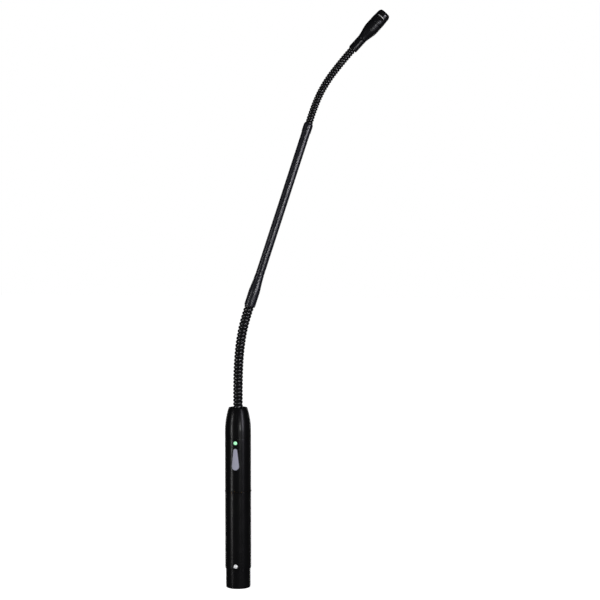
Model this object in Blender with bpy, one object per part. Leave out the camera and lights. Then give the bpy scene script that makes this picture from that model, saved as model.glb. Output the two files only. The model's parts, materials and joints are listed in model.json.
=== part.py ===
"""Gooseneck podium microphone with an XLR preamplifier body.

The body stands along +Z, with the centre of the plug's rim at the origin. The light and the mute
button face -Y. The neck leaves the nose and bends towards BEND_AZIMUTH. It is a chain of ridged
links: every link hangs on an empty at its pivot, so turning an empty bends the neck there.
"""

import math

import bmesh
import bpy
from mathutils import Vector

MM = 0.001

# Body: heights along Z and outer radii.
BARREL_TOP = 14.1 * MM
SEAM_HEIGHT = 71.6 * MM
NOSE_SEAM = 111.4 * MM
TAPER_START = 116.0 * MM
NOSE_TOP = 133.6 * MM
BARREL_RADIUS = 9.1 * MM
BODY_RADIUS = 9.65 * MM
BODY_BORE = 8.45 * MM
SPIGOT_RADIUS = 8.15 * MM
SEAM_RADIUS = 9.95 * MM
NOSE_TIP_RADIUS = 6.9 * MM
JOINT_GAP = 0.3 * MM

# Controls on the front of the body.
SCREW_HEIGHT = 16.8 * MM
BUTTON_BOTTOM = 88.1 * MM
BUTTON_TOP = 104.1 * MM
BUTTON_WIDE_RADIUS = 2.8 * MM
BUTTON_NARROW_RADIUS = 1.45 * MM
BUTTON_FACE_RADIUS = 10.35 * MM
BUTTON_CLEARANCE = 0.25 * MM
LIGHT_HEIGHT = 108.1 * MM
LIGHT_RADIUS = 1.6 * MM

# XLR plug.
PIN_RADIUS = 1.2 * MM
PIN_CIRCLE = 5.0 * MM
PIN_DIRECTIONS = (155.0, 25.0, 270.0)

# Neck: two flexible stretches with a straight stem between them.
BEND_AZIMUTH = math.radians(10.0)
LOWER_LENGTH = 73.0 * MM
LOWER_PIVOTS = 9
LOWER_RIDGE = 3.55 * MM
LOWER_GROOVE = 3.2 * MM
LOWER_BORE = 2.2 * MM
LOWER_GAP = 1.1 * MM
LOWER_BEND_END = 0.94
LOWER_BEND_POWER = 2.3
STEM_LENGTH = 143.0 * MM
STEM_TILT = math.radians(18.07)
TUBE_RADIUS = 3.2 * MM
TUBE_BORE = 2.4 * MM
FERRULE_LENGTH = 21.5 * MM
FERRULE_RADIUS = 4.15 * MM
FERRULE_TOP_RADIUS = 3.65 * MM
CUFF_LENGTH = 7.0 * MM
CUFF_RADIUS = 3.45 * MM
UPPER_LENGTH = 63.0 * MM
UPPER_PIVOTS = 10
UPPER_RIDGE = 2.72 * MM
UPPER_GROOVE = 2.4 * MM
UPPER_BORE = 1.6 * MM
UPPER_GAP = 0.8 * MM
HEAD_TILT = math.radians(42.2)
RIDGES_PER_LINK = 3
LEAD_RADIUS = 0.9 * MM

# Head, measured along its own axis from the foot of its collar.
HEAD_LENGTH = 35.6 * MM
COLLAR_RADIUS = 3.38 * MM
COLLAR_LENGTH = 9.4 * MM
FLARE_END = 20.6 * MM
HEAD_RADIUS = 5.2 * MM
SHELL_END = 24.9 * MM
CAP_START = 33.1 * MM
CAP_RADIUS = 4.85 * MM
CAP_FRONT_RADIUS = 4.0 * MM
PORT_START = 29.2 * MM
PORT_LENGTH = 2.7 * MM
PORT_WIDTH = 5.5 * MM
PORT_DIRECTION = math.radians(-98.0)

BODY_SIDES = 32
NECK_SIDES = 12
HEAD_SIDES = 24
SMALL_SIDES = 12


def clear_scene():
    """Start from an empty scene."""
    for item in list(bpy.data.objects):
        bpy.data.objects.remove(item, do_unlink=True)


def finish(name, colour, roughness, metallic=0.0):
    """One Principled material for one sub-part."""
    material = bpy.data.materials.new(name)
    material.use_nodes = True
    shader = material.node_tree.nodes["Principled BSDF"]
    shader.inputs["Base Color"].default_value = (*colour, 1.0)
    shader.inputs["Roughness"].default_value = roughness
    shader.inputs["Metallic"].default_value = metallic
    return material


def black_finish(name):
    """Satin black paint on metal."""
    return finish(name, (0.012, 0.012, 0.013), 0.38, 0.2)


def add_object(name, mesh, material, parent=None, location=(0, 0, 0), rotation=(0, 0, 0)):
    """Link a mesh as a named object, under a parent if it has one."""
    item = bpy.data.objects.new(name, mesh)
    bpy.context.scene.collection.objects.link(item)
    item.parent = parent
    item.location = location
    item.rotation_euler = rotation
    if material:
        mesh.materials.append(material)
    return item


def add_empty(name, parent=None, location=(0, 0, 0), rotation=(0, 0, 0)):
    """A joint or a datum that carries other pieces."""
    empty = add_object(name, None, None, parent, location, rotation)
    empty.empty_display_size = 0.01
    return empty


def turned(name, profile, material, closed=True, sides=BODY_SIDES, **place):
    """Turn a profile of (radius, height) about the local Z axis with a Screw modifier.

    The profile runs down the outer side. A closed one makes a ring; an open one starts and ends on
    the axis and makes a solid piece.
    """
    mesh = bpy.data.meshes.new(name)
    points = [(radius, 0.0, height) for radius, height in profile]
    edges = [(index, index + 1) for index in range(len(points) - 1)]
    if closed:
        edges.append((len(points) - 1, 0))
    mesh.from_pydata(points, edges, [])
    item = add_object(name, mesh, material, **place)
    screw = item.modifiers.new("turn", 'SCREW')
    screw.axis = 'Z'
    screw.angle = 2.0 * math.pi
    screw.steps = sides
    screw.render_steps = sides
    screw.use_merge_vertices = True
    screw.merge_threshold = 0.000001
    screw.use_smooth_shade = True
    return item


def ring_profile(outer, bore, top, bottom, chamfer=0.0):
    """A plain tube's profile, with its outer edges chamfered."""
    if chamfer == 0.0:
        return [(outer, top), (outer, bottom), (bore, bottom), (bore, top)]
    return [(outer - chamfer, top), (outer, top - chamfer), (outer, bottom + chamfer),
            (outer - chamfer, bottom), (bore, bottom), (bore, top)]


def rod_profile(radius, top, bottom, chamfer=0.0):
    """A solid rod's profile, from the axis at the top to the axis at the bottom."""
    if chamfer == 0.0:
        return [(0.0, top), (radius, top), (radius, bottom), (0.0, bottom)]
    return [(0.0, top), (radius - chamfer, top), (radius, top - chamfer), (radius, bottom), (0.0, bottom)]


def box(name, size, centre, material, parent=None):
    """A box-shaped piece, centred at a place in its parent's frame."""
    mesh = bpy.data.meshes.new(name)
    shape = bmesh.new()
    bmesh.ops.create_cube(shape, size=1.0)
    bmesh.ops.scale(shape, vec=size, verts=shape.verts)
    shape.to_mesh(mesh)
    shape.free()
    return add_object(name, mesh, material, parent, centre)


def mark_cutter(cutter):
    """Keep a cutting shape out of the model."""
    cutter.hide_render = True
    cutter.display_type = 'WIRE'
    return cutter


def combine(target, tool, operation='DIFFERENCE'):
    """Cut a tool's shape from a piece, or keep only what the two share."""
    boolean = target.modifiers.new(tool.name, 'BOOLEAN')
    boolean.operation = operation
    boolean.solver = 'EXACT'
    boolean.object = tool


def front_rod(name, radius, front, back, height, material=None, sides=SMALL_SIDES):
    """A short rod that lies along Y and faces the front, from y = -front to y = -back."""
    return turned(name, rod_profile(radius, front, back), material, closed=False, sides=sides,
                  location=(0, 0, height), rotation=(math.radians(90), 0, 0))


def teardrop(name, margin, front, back, material=None):
    """The button's outline, narrow at the top, extruded from y = -front to y = -back."""
    low = BUTTON_BOTTOM + BUTTON_WIDE_RADIUS
    high = BUTTON_TOP - BUTTON_NARROW_RADIUS
    lean = math.asin((BUTTON_WIDE_RADIUS - BUTTON_NARROW_RADIUS) / (high - low))
    outline = []
    for radius, centre, start, end in ((BUTTON_NARROW_RADIUS, high, lean, math.pi - lean),
                                       (BUTTON_WIDE_RADIUS, low, math.pi - lean, 2 * math.pi + lean)):
        for step in range(9):
            angle = start + (end - start) * step / 8
            outline.append(((radius + margin) * math.cos(angle), centre + (radius + margin) * math.sin(angle)))
    mesh = bpy.data.meshes.new(name)
    shape = bmesh.new()
    face = shape.faces.new([shape.verts.new((x, -back, z)) for x, z in outline])
    pulled = bmesh.ops.extrude_face_region(shape, geom=[face])
    moved = [item for item in pulled["geom"] if isinstance(item, bmesh.types.BMVert)]
    bmesh.ops.translate(shape, vec=(0, back - front, 0), verts=moved)
    bmesh.ops.recalc_face_normals(shape, faces=shape.faces)
    shape.to_mesh(mesh)
    shape.free()
    return add_object(name, mesh, material)


def lead(name, points, material, parent=None):
    """A thin insulated wire along a list of points."""
    curve = bpy.data.curves.new(name, 'CURVE')
    curve.dimensions = '3D'
    curve.bevel_depth = LEAD_RADIUS
    curve.bevel_resolution = 1
    curve.use_fill_caps = True
    spline = curve.splines.new('POLY')
    spline.points.add(len(points) - 1)
    for point, place in zip(spline.points, points):
        point.co = (*place, 1.0)
    return add_object(name, curve, material, parent)


def build_plug():
    """XLR barrel with its insulator, three pins and the screw that holds it in the sleeve."""
    shell = turned("xlr_shell", [
        (SPIGOT_RADIUS, 26.0 * MM), (SPIGOT_RADIUS, BARREL_TOP), (BARREL_RADIUS, BARREL_TOP),
        (BARREL_RADIUS, 0.3 * MM), (BARREL_RADIUS - 0.3 * MM, 0.0), (8.1 * MM, 0.0),
        (8.1 * MM, 12.5 * MM), (7.2 * MM, 12.5 * MM), (7.2 * MM, 26.0 * MM),
    ], black_finish("xlr_shell_black"))
    window = box("latch_window_cutter", (4.2 * MM, 3.0 * MM, 3.4 * MM), (0, 8.4 * MM, 6.7 * MM), None)
    combine(shell, mark_cutter(window))
    screw_way = mark_cutter(front_rod("screw_way_cutter", 1.3 * MM, 12 * MM, 4 * MM, SCREW_HEIGHT))
    combine(shell, screw_way)

    insulator = turned("xlr_insulator", rod_profile(6.9 * MM, 21 * MM, 13 * MM, 0.4 * MM),
                       finish("xlr_insulator_black", (0.02, 0.02, 0.02), 0.6), closed=False)
    silver = finish("contact_silver", (0.75, 0.74, 0.72), 0.22, 1.0)
    for number, degrees in enumerate(PIN_DIRECTIONS, start=1):
        angle = math.radians(degrees)
        place = (PIN_CIRCLE * math.cos(angle), PIN_CIRCLE * math.sin(angle), 0)
        way = turned(f"pin_way_cutter_{number}", rod_profile(PIN_RADIUS + 0.1 * MM, 30 * MM, 5 * MM),
                     None, closed=False, sides=SMALL_SIDES, location=place)
        combine(insulator, mark_cutter(way))
        profile = [(0.0, 24 * MM), (PIN_RADIUS, 24 * MM), (PIN_RADIUS, 2.2 * MM),
                   (0.7 * MM, 1.5 * MM), (0.0, 1.3 * MM)]
        turned(f"xlr_pin_{number}", profile, silver, closed=False, sides=SMALL_SIDES, location=place)

    head = 1.55 * MM
    face = BODY_RADIUS + 0.05 * MM
    profile = [(0.0, face), (head - 0.2 * MM, face), (head, face - 0.2 * MM), (head, 8.5 * MM),
               (0.95 * MM, 8.5 * MM), (0.95 * MM, 7.3 * MM), (0.0, 7.3 * MM)]
    screw = turned("xlr_retaining_screw", profile, finish("screw_steel", (0.8, 0.8, 0.8), 0.2, 1.0),
                   closed=False, sides=16, location=(0, 0, SCREW_HEIGHT),
                   rotation=(math.radians(90), 0, 0))
    slot = box("screw_slot_cutter", (5 * MM, 0.8 * MM, 0.45 * MM), (0, -face, SCREW_HEIGHT), None)
    combine(screw, mark_cutter(slot))


def build_sleeves():
    """Lower and upper sleeves, and the seam ring and coupling ring between them."""
    lower = turned("lower_sleeve", ring_profile(BODY_RADIUS, BODY_BORE, SEAM_HEIGHT - 0.7 * MM,
                                                BARREL_TOP + JOINT_GAP, 0.15 * MM),
                   black_finish("lower_sleeve_black"))
    screw_hole = mark_cutter(front_rod("screw_hole_cutter", 1.8 * MM, 12 * MM, 7 * MM, SCREW_HEIGHT, sides=16))
    combine(lower, screw_hole)
    turned("seam_ring", ring_profile(SEAM_RADIUS, BODY_BORE, SEAM_HEIGHT + 0.4 * MM,
                                     SEAM_HEIGHT - 0.4 * MM, 0.2 * MM), black_finish("seam_ring_black"))
    turned("coupling_ring", ring_profile(SPIGOT_RADIUS, 7.3 * MM, SEAM_HEIGHT + 8 * MM,
                                         SEAM_HEIGHT - 8 * MM, 0.3 * MM),
           finish("coupling_brass", (0.55, 0.42, 0.2), 0.35, 1.0))
    upper = turned("upper_sleeve", ring_profile(BODY_RADIUS, BODY_BORE, NOSE_SEAM - JOINT_GAP,
                                                SEAM_HEIGHT + 0.7 * MM, 0.15 * MM),
                   black_finish("upper_sleeve_black"))
    combine(upper, mark_cutter(teardrop("button_hole_cutter", BUTTON_CLEARANCE, 13 * MM, 6 * MM)))
    light_hole = front_rod("light_hole_cutter", LIGHT_RADIUS + 0.2 * MM, 12 * MM, 6 * MM, LIGHT_HEIGHT)
    combine(upper, mark_cutter(light_hole))


def build_nose():
    """Nose cap with its rounded taper, and the nut that clamps the neck inside it."""
    height = NOSE_TOP - TAPER_START
    drop = BODY_RADIUS - NOSE_TIP_RADIUS
    taper = []
    for step in range(7):
        part = 1.0 - 0.04 - 0.96 * step / 6
        taper.append((BODY_RADIUS - drop * part ** 2, TAPER_START + height * part))
    profile = [(3.8 * MM, NOSE_TOP), (NOSE_TIP_RADIUS - 0.7 * MM, NOSE_TOP), *taper,
               (BODY_RADIUS, NOSE_SEAM), (SPIGOT_RADIUS, NOSE_SEAM), (SPIGOT_RADIUS, NOSE_SEAM - 1.4 * MM),
               (7.0 * MM, NOSE_SEAM - 1.4 * MM), (7.0 * MM, NOSE_TOP - 7 * MM),
               (6.2 * MM, NOSE_TOP - 3 * MM), (3.8 * MM, NOSE_TOP - 3 * MM)]
    turned("nose_cap", profile, black_finish("nose_cap_black"))
    turned("neck_clamp_nut", ring_profile(6.5 * MM, 4.1 * MM, NOSE_TOP - 7.4 * MM, NOSE_TOP - 12 * MM,
                                          0.4 * MM),
           finish("nut_nickel", (0.6, 0.58, 0.54), 0.3, 1.0), sides=6)


def build_controls():
    """Teardrop mute button with its plunger, and the status light."""
    slide = add_empty("mute_slide", location=(0, -BODY_RADIUS, 0.5 * (BUTTON_BOTTOM + BUTTON_TOP)))
    rubber = finish("button_grey", (0.36, 0.36, 0.42), 0.5)
    button = teardrop("mute_button", 0.0, 12 * MM, 8.1 * MM, rubber)
    face = turned("button_face_guide", rod_profile(BUTTON_FACE_RADIUS, 107 * MM, 85 * MM), None,
                  closed=False, sides=64)
    combine(button, mark_cutter(face), 'INTERSECT')
    plunger = front_rod("mute_plunger", 1.1 * MM, 7.8 * MM, 6.05 * MM, slide.location.z,
                        finish("plunger_white", (0.7, 0.7, 0.68), 0.5))
    for piece in (button, plunger):
        piece.parent = slide
        piece.location = piece.location - slide.location
    profile = [(0.0, 9.95 * MM), (0.9 * MM, 9.85 * MM), (LIGHT_RADIUS, 9.5 * MM), (LIGHT_RADIUS, 6.2 * MM),
               (0.0, 6.2 * MM)]
    turned("status_light", profile, finish("light_green", (0.3, 0.75, 0.45), 0.2), closed=False,
           sides=SMALL_SIDES, location=(0, 0, LIGHT_HEIGHT), rotation=(math.radians(90), 0, 0))


def build_electronics():
    """Circuit board with the parts it carries, and the leads from the pins."""
    front = 0.8 * MM
    centre = 0.5 * (BUTTON_BOTTOM + BUTTON_TOP)
    green = finish("board_green", (0.03, 0.16, 0.06), 0.45)
    box("circuit_board", (13 * MM, 2 * front, 84 * MM), (0, 0, 75 * MM), green)
    plastic = finish("switch_black", (0.03, 0.03, 0.03), 0.5)
    box("mute_switch", (6 * MM, 3.9 * MM, 6 * MM), (0, -front - JOINT_GAP - 1.95 * MM, centre), plastic)
    white = finish("holder_white", (0.7, 0.7, 0.66), 0.5)
    box("light_holder", (4 * MM, 4.6 * MM, 4 * MM), (0, -front - JOINT_GAP - 2.3 * MM, LIGHT_HEIGHT), white)
    grey = finish("chip_grey", (0.05, 0.05, 0.055), 0.4)
    box("amplifier_chip", (6.4 * MM, 2.2 * MM, 9.6 * MM), (0, -front - JOINT_GAP - 1.1 * MM, 52 * MM), grey)
    foil = finish("capacitor_blue", (0.03, 0.05, 0.14), 0.35)
    for number, height in enumerate((62.0, 36.0), start=1):
        turned(f"capacitor_{number}", rod_profile(2.5 * MM, 5.5 * MM, -5.5 * MM, 0.4 * MM), foil,
               closed=False, sides=SMALL_SIDES, location=(0, front + JOINT_GAP + 2.5 * MM, height * MM))

    insulation = finish("lead_red", (0.35, 0.03, 0.03), 0.5)
    for number, degrees in enumerate(PIN_DIRECTIONS, start=1):
        angle = math.radians(degrees)
        start = Vector((PIN_CIRCLE * math.cos(angle), PIN_CIRCLE * math.sin(angle), 24.3 * MM))
        end = Vector((0.9 * start.x, 0.0, 32.6 * MM))
        if number == 3:
            end = Vector((0, -2.1 * MM, 34 * MM))
        rise = start + Vector((0, 0, 1.4 * MM))
        lead(f"pin_lead_{number}", [start, rise, (start + end) * 0.5, end], insulation)


def ridged_profile(top, bottom, ridge, groove, bore, ridges):
    """A short piece of ridged hose: it starts and ends in a groove."""
    pitch = (top - bottom) / ridges
    profile = [(groove, top)]
    for number in range(ridges):
        profile.append((ridge, top - (number + 0.5) * pitch))
        profile.append((groove, top - (number + 1) * pitch))
    return profile + [(bore, bottom), (bore, top)]


def build_flex(name, base, length, pivots, turns, ridge, groove, bore, gap, material):
    """A chain of links on nested empties. turns[i] is the rest angle at pivot i.

    base is the empty at the start of the stretch. Returns the last pivot's empty, and the distance
    from it to the end of the stretch. The stubs at both ends belong to the neighbours.
    """
    spacing = length / pivots
    half_gap = 0.5 * gap
    carrier = base
    for number, turn in enumerate(turns, start=1):
        offset = 0.5 * spacing if number == 1 else spacing
        carrier = add_empty(f"{name}_pivot_{number}", carrier, (0, 0, offset), (0, turn, 0))
        if number < pivots:
            profile = ridged_profile(spacing - half_gap, half_gap, ridge, groove, bore, RIDGES_PER_LINK)
            turned(f"{name}_link_{number}", profile, material, sides=NECK_SIDES, parent=carrier)
    return carrier, 0.5 * spacing


def stub(name, top, bottom, plug_end, ridge, groove, bore, material, parent):
    """Half a link that runs on as a plain plug into the piece that holds it."""
    profile = ridged_profile(top, bottom, ridge, groove, bore, 1)
    if plug_end < bottom:
        profile = profile[:3] + [(groove, plug_end), (bore, plug_end), (bore, top)]
    else:
        profile = [(groove, plug_end)] + profile[:3] + [(bore, bottom), (bore, plug_end)]
    return turned(name, profile, material, sides=NECK_SIDES, parent=parent)


def even_turns(directions):
    """Rest angle at each pivot from the direction of each link."""
    return [after - before for before, after in zip(directions, directions[1:])]


def build_neck():
    """Lower flex, stem and upper flex. Returns the empty at the head's foot."""
    hose = black_finish("neck_black")
    painted = black_finish("stem_black")
    insulation = finish("signal_lead_grey", (0.1, 0.1, 0.1), 0.5)

    root = add_empty("neck_root", None, (0, 0, NOSE_TOP), (0, 0, BEND_AZIMUTH))
    spacing = LOWER_LENGTH / LOWER_PIVOTS
    directions = []
    for number in range(LOWER_PIVOTS + 1):
        part = min(1.0, number / LOWER_PIVOTS / LOWER_BEND_END)
        directions.append(STEM_TILT * part ** LOWER_BEND_POWER)
    stub("lower_neck_root", 0.5 * spacing - 0.5 * LOWER_GAP, 0.3 * MM, -11 * MM, LOWER_RIDGE,
         LOWER_GROOVE, LOWER_BORE, hose, root)
    pivot, rest = build_flex("lower_neck", root, LOWER_LENGTH, LOWER_PIVOTS, even_turns(directions),
                             LOWER_RIDGE, LOWER_GROOVE, LOWER_BORE, LOWER_GAP, hose)
    stem = add_empty("stem_foot", pivot, (0, 0, rest))
    stub("lower_neck_tip", -0.3 * MM, -rest + 0.5 * LOWER_GAP, 8 * MM, LOWER_RIDGE, LOWER_GROOVE,
         LOWER_BORE, hose, stem)
    build_stem(stem, painted)

    top = add_empty("stem_top", stem, (0, 0, STEM_LENGTH))
    spacing = UPPER_LENGTH / UPPER_PIVOTS
    directions = []
    for number in range(UPPER_PIVOTS + 1):
        part = number / UPPER_PIVOTS
        middle = min(1.0, max(0.0, (part - 0.05) / 0.7))
        share = 0.8 * middle * middle * (3 - 2 * middle) + 0.2 * part ** 4
        directions.append(STEM_TILT + (HEAD_TILT - STEM_TILT) * share)
    stub("upper_neck_root", 0.5 * spacing - 0.5 * UPPER_GAP, 0.3 * MM, -6 * MM, UPPER_RIDGE,
         UPPER_GROOVE, UPPER_BORE, hose, top)
    pivot, rest = build_flex("upper_neck", top, UPPER_LENGTH, UPPER_PIVOTS, even_turns(directions),
                             UPPER_RIDGE, UPPER_GROOVE, UPPER_BORE, UPPER_GAP, hose)
    head = add_empty("head_foot", pivot, (0, 0, rest))
    stub("upper_neck_tip", -0.3 * MM, -rest + 0.5 * UPPER_GAP, 6 * MM, UPPER_RIDGE, UPPER_GROOVE,
         UPPER_BORE, hose, head)
    build_signal_lead(root, stem, top, head, insulation)
    return head


def build_stem(foot, material):
    """Bottom ferrule with its cone, the tube, and the top ferrule."""
    profile = [(FERRULE_TOP_RADIUS, FERRULE_LENGTH), (FERRULE_TOP_RADIUS, 20.5 * MM),
               (FERRULE_RADIUS - 0.05 * MM, 15.0 * MM), (FERRULE_RADIUS, 13.8 * MM),
               (FERRULE_RADIUS - 0.1 * MM, 0.4 * MM), (FERRULE_RADIUS - 0.4 * MM, 0.0),
               (3.55 * MM, 0.0), (3.55 * MM, 8.6 * MM), (TUBE_BORE, 8.6 * MM), (TUBE_BORE, 12 * MM),
               (TUBE_RADIUS + 0.15 * MM, 12 * MM), (TUBE_RADIUS + 0.15 * MM, FERRULE_LENGTH)]
    turned("stem_lower_ferrule", profile, material, sides=20, parent=foot)
    tube = ring_profile(TUBE_RADIUS, TUBE_BORE, STEM_LENGTH - CUFF_LENGTH - JOINT_GAP, 12.3 * MM)
    turned("stem_tube", tube, material, sides=20, parent=foot)
    profile = [(CUFF_RADIUS - 0.4 * MM, STEM_LENGTH), (CUFF_RADIUS, STEM_LENGTH - 0.7 * MM),
               (CUFF_RADIUS, STEM_LENGTH - CUFF_LENGTH), (TUBE_BORE, STEM_LENGTH - CUFF_LENGTH),
               (TUBE_BORE, STEM_LENGTH - 6.4 * MM), (UPPER_GROOVE + 0.3 * MM, STEM_LENGTH - 6.4 * MM),
               (UPPER_GROOVE + 0.3 * MM, STEM_LENGTH)]
    turned("stem_upper_ferrule", profile, material, sides=20, parent=foot)


def build_signal_lead(root, stem, top, head, material):
    """Signal lead in three lengths: lower neck, stem and upper neck."""
    bpy.context.view_layer.update()
    lower = [root] + [bpy.data.objects[f"lower_neck_pivot_{n}"] for n in range(1, LOWER_PIVOTS + 1)] + [stem]
    upper = [top] + [bpy.data.objects[f"upper_neck_pivot_{n}"] for n in range(1, UPPER_PIVOTS + 1)] + [head]
    start = root.matrix_world.translation - Vector((0, 0, 14 * MM))
    lead("lower_neck_lead", [start] + [item.matrix_world.translation for item in lower], material)
    along = stem.matrix_world.to_3x3() @ Vector((0, 0, 1))
    ends = [stem.matrix_world.translation + along * 0.4 * MM, top.matrix_world.translation - along * 0.4 * MM]
    lead("stem_lead", ends, material)
    along = head.matrix_world.to_3x3() @ Vector((0, 0, 1))
    finish_point = head.matrix_world.translation + along * 8 * MM
    lead("upper_neck_lead", [item.matrix_world.translation for item in upper] + [finish_point], material)


def build_head(foot):
    """Collar, flared shell, slotted cartridge ring, front cap, screen and the capsule inside."""
    black = black_finish("head_black")
    place = {"parent": foot, "sides": HEAD_SIDES}
    turned("head_collar", ring_profile(COLLAR_RADIUS, 2.75 * MM, COLLAR_LENGTH, 0.0, 0.25 * MM), black, **place)

    flare = []
    for step in range(7):
        part = 1.0 - step / 6
        ease = part * part * (3 - 2 * part)
        flare.append((COLLAR_RADIUS + (HEAD_RADIUS - COLLAR_RADIUS) * ease,
                      COLLAR_LENGTH + JOINT_GAP + (FLARE_END - COLLAR_LENGTH) * part))
    inside = [(2.2 * MM, flare[-1][1]), (2.2 * MM, 15 * MM), (4.4 * MM, 20.5 * MM), (4.4 * MM, SHELL_END)]
    turned("head_shell", [(HEAD_RADIUS, SHELL_END)] + flare + inside, black, **place)

    profile = [(CAP_RADIUS + 0.05 * MM, CAP_START - JOINT_GAP), (HEAD_RADIUS, SHELL_END + 2.6 * MM),
               (HEAD_RADIUS, SHELL_END + JOINT_GAP), (4.3 * MM, SHELL_END + JOINT_GAP),
               (4.3 * MM, CAP_START - JOINT_GAP)]
    housing = turned("cartridge_housing", profile, black, **place)
    for number in range(2):
        angle = PORT_DIRECTION + number * math.radians(180)
        centre = (HEAD_RADIUS * math.cos(angle), HEAD_RADIUS * math.sin(angle), PORT_START + 0.5 * PORT_LENGTH)
        port = box(f"port_cutter_{number + 1}", (PORT_WIDTH, 4.0 * MM, PORT_LENGTH), centre, None, foot)
        port.rotation_euler = (0, 0, angle + math.radians(90))
        combine(housing, mark_cutter(port))

    profile = [(3.3 * MM, HEAD_LENGTH), (CAP_FRONT_RADIUS - 0.5 * MM, HEAD_LENGTH),
               (CAP_FRONT_RADIUS, HEAD_LENGTH - 0.3 * MM), (CAP_RADIUS - 0.2 * MM, HEAD_LENGTH - 1.2 * MM),
               (CAP_RADIUS, CAP_START), (4.1 * MM, CAP_START), (3.3 * MM, HEAD_LENGTH - 1.4 * MM)]
    turned("front_cap", profile, black, **place)
    turned("grille_screen", rod_profile(3.8 * MM, CAP_START - JOINT_GAP, CAP_START - 0.8 * MM),
           finish("screen_silver", (0.5, 0.5, 0.5), 0.35, 1.0), closed=False, **place)
    turned("capsule", rod_profile(3.0 * MM, CAP_START - 1.2 * MM, 28.4 * MM, 0.3 * MM),
           finish("capsule_aluminium", (0.65, 0.65, 0.66), 0.3, 1.0), closed=False, **place)
    turned("capsule_ring", ring_profile(3.85 * MM, 3.2 * MM, CAP_START - 1.3 * MM, 28.4 * MM),
           finish("capsule_rubber", (0.02, 0.02, 0.02), 0.8), **place)
    turned("contact_board", rod_profile(4.0 * MM, 28.0 * MM, 27.0 * MM),
           finish("contact_board_green", (0.03, 0.16, 0.06), 0.45), closed=False, **place)
    turned("centre_contact", rod_profile(0.8 * MM, 26.6 * MM, 8.5 * MM),
           finish("contact_gold", (0.8, 0.6, 0.2), 0.25, 1.0), closed=False, parent=foot, sides=8)


def main():
    clear_scene()
    build_plug()
    build_sleeves()
    build_nose()
    build_controls()
    build_electronics()
    build_head(build_neck())


main()
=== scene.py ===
"""Gooseneck podium microphone: the visible pieces, finished around the fixed CAD frame."""

import json
import math

import bmesh
import bpy
from bpy.props import FloatProperty, FloatVectorProperty, IntProperty, PointerProperty
from mathutils import Matrix, Vector


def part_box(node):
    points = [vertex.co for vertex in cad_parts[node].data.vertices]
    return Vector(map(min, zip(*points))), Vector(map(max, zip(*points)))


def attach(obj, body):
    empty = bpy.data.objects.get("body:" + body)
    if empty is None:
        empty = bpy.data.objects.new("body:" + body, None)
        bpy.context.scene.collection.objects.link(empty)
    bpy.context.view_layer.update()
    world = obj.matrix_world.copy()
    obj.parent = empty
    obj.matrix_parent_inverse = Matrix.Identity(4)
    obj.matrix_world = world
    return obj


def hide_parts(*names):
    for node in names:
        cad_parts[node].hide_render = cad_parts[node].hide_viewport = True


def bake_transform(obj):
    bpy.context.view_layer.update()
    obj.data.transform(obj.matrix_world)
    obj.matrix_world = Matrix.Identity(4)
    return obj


bl_info = {
    "name": "Gooseneck podium microphone",
    "version": (1, 0, 0),
    "blender": (4, 5, 0),
    "location": "3D View > Sidebar > Microphone",
    "description": "Builds the visible pieces of a gooseneck microphone around its CAD frame",
    "category": "Add Mesh",
}

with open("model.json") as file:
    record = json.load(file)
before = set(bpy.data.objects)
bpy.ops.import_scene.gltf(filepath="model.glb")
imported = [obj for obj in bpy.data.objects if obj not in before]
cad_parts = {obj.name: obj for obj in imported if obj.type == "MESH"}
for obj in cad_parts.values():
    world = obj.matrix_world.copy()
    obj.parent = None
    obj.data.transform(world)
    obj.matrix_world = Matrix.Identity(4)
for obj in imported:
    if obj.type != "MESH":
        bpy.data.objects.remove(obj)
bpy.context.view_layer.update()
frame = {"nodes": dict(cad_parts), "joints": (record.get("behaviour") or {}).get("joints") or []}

MM = 0.001
TURN_FRONT = Matrix.Rotation(math.radians(90), 4, 'X')  # turns local +Z to face the front, -Y

SLEEVE_WALL = 1.2 * MM
TUBE_RADIUS = 3.2 * MM
LEAD_RADIUS = 0.9 * MM
CUT_OUTSIDE = 13 * MM  # radii that a cutter through the front wall spans
CUT_INSIDE = 7 * MM
HOSE_WALL = 0.7 * MM
VALLEY_DEPTH = 0.22 * MM
HOSE_PLUNGE = 4.5 * MM  # how far a hose's end runs on inside the piece that holds it
HEAD_LENGTH = 35.6 * MM
HEAD_RADIUS = 5.2 * MM
CAP_START = 33.1 * MM


def linear(code):
    """An sRGB hex colour as linear red, green, blue."""
    channels = [int(code[start:start + 2], 16) / 255 for start in (1, 3, 5)]
    return tuple(c / 12.92 if c <= 0.04045 else ((c + 0.055) / 1.055) ** 2.4 for c in channels)


def mm(*values):
    """A point given in millimetres, in metres."""
    return tuple(value * MM for value in values)


# ---------------------------------------------------------------- sizes and colours


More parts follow.
